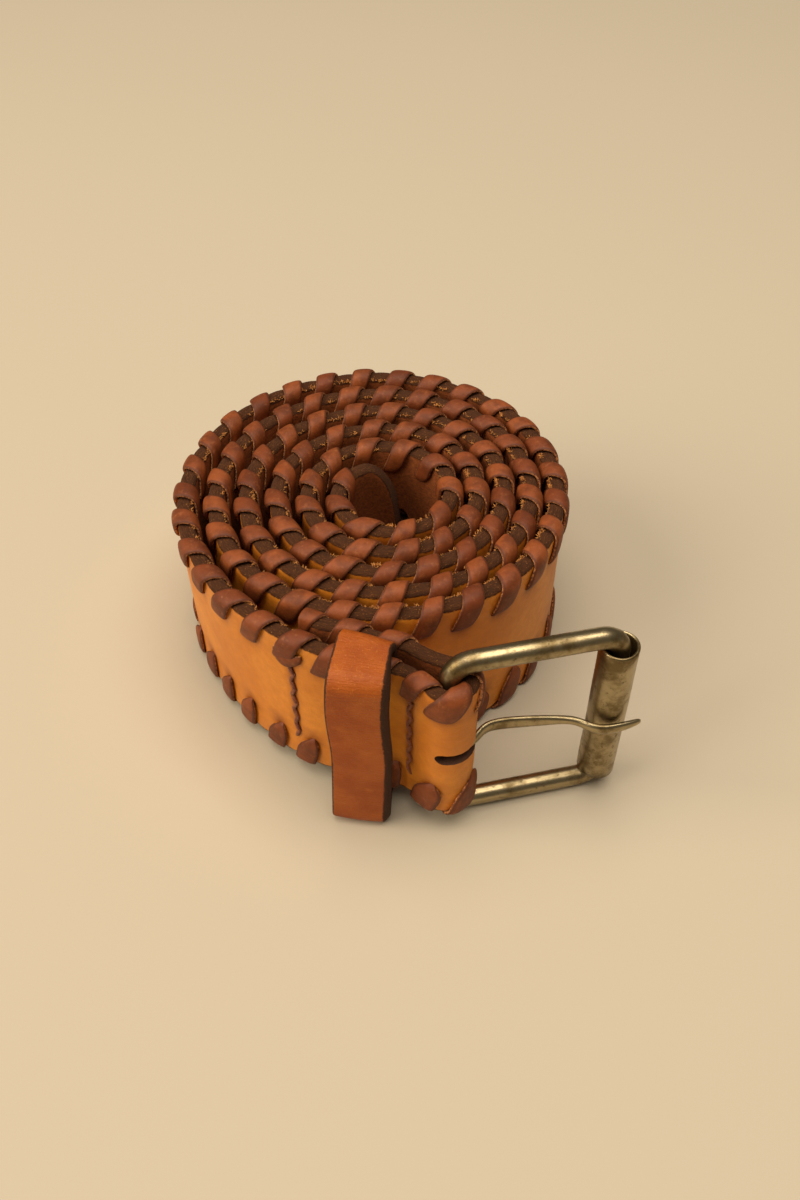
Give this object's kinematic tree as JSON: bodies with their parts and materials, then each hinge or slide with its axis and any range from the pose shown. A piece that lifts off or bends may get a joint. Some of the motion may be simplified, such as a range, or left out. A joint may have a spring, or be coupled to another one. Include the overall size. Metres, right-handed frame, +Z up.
{
  "type": "rolled leather belt with laced edges",
  "caption": "Leather belt rolled up on its lower edge, with laced edges, a loose keeper and a roller buckle whose frame, prong and roller turn.",
  "frame": {"origin": "on the floor, under the middle of the whole rolled belt", "axes": "+Z up, from the lower edge of the standing strap to its upper edge; +X right, towards the buckle's far bar; +Y back, from the buckle across the roll"},
  "size_m": [0.0946, 0.102, 0.0472],
  "materials": {
    "strap_leather": "smooth tan vegetable-tanned grain, brushed flesh side, dark dyed edges",
    "lace_leather": "soft red-brown lace with a dull grain",
    "keeper_leather": "waxed orange-brown grain with dark burnished edges",
    "buckle_metal": "old brass plate over steel, rubbed bright and darkened in the hollows"
  },
  "bodies": {
    "belt": {"strap": "strap_leather", "upper_lacing": "lace_leather", "lower_lacing": "lace_leather", "rear_upper_lacing": "lace_leather", "rear_lower_lacing": "lace_leather", "keeper": "keeper_leather"},
    "buckle": {"buckle_frame": "buckle_metal"},
    "roller": {"roller": "buckle_metal"},
    "prong": {"prong": "buckle_metal"}
  },
  "joints": [
    {"name": "buckle_swing", "type": "hinge", "parent": "belt", "child": "buckle", "pos_m": [0.00961, -0.04546, 0.0236], "axis": [0, 0, 1], "range_deg": [-45, 25]},
    {"name": "prong_swing", "type": "hinge", "parent": "buckle", "child": "prong", "pos_m": [0.00961, -0.04546, 0.0236], "axis": [0, 0, -1], "range_deg": [0, 45]},
    {"name": "roller_spin", "type": "hinge", "parent": "buckle", "child": "roller", "pos_m": [0.04081, -0.03831, 0.0236], "axis": [0, 0, 1], "continuous": true}
  ]
}
